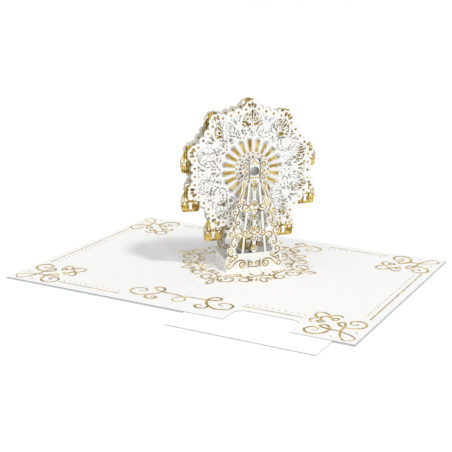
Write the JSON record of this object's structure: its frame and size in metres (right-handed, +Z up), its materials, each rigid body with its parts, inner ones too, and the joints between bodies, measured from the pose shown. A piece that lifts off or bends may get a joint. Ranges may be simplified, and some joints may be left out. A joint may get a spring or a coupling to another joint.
{
  "type": "pop-up greeting card",
  "caption": "Folded greeting card laid open, with a standing lace-cut paper Ferris wheel on its fold and a note card that slides out of a pocket.",
  "frame": {"origin": "centre of the fold on the underside of the cover", "axes": "+X along the long side of the open card, +Y along the fold towards the back edge, +Z up out of the card"},
  "size_m": [0.254, 0.2008, 0.1195],
  "materials": {
    "white_card": "smooth white card stock with foil print",
    "lace_card": "laser-cut white card stock with foil dots",
    "gold_card": "card stock faced with satin gold foil"
  },
  "bodies": {
    "card": {"cover": "white_card", "pocket_liner": "white_card", "page": "white_card", "plinth": "white_card", "tower_front": "lace_card", "tower_back": "lace_card", "wheel_front": "lace_card", "wheel_back": "lace_card", "sunburst_front": "gold_card", "sunburst_back": "gold_card", "hub_slice_left": "white_card", "hub_slice_right": "white_card", "base_slice_left": "white_card", "base_slice_right": "white_card", "gondola_01": "gold_card", "gondola_02": "gold_card", "gondola_03": "gold_card", "gondola_04": "gold_card", "gondola_05": "gold_card", "gondola_06": "gold_card", "gondola_07": "gold_card", "gondola_08": "gold_card", "gondola_09": "gold_card", "gondola_10": "gold_card", "gondola_hanger_01": "gold_card", "gondola_hanger_02": "gold_card", "gondola_hanger_03": "gold_card", "gondola_hanger_04": "gold_card", "gondola_hanger_05": "gold_card", "gondola_hanger_06": "gold_card", "gondola_hanger_07": "gold_card", "gondola_hanger_08": "gold_card", "gondola_hanger_09": "gold_card", "gondola_hanger_10": "gold_card"},
    "note": {"note_card": "white_card"}
  },
  "joints": [
    {"name": "note_slide", "type": "slide", "parent": "card", "child": "note", "axis": [0, -1, 0], "range_m": [-0.023, 0.12]}
  ]
}
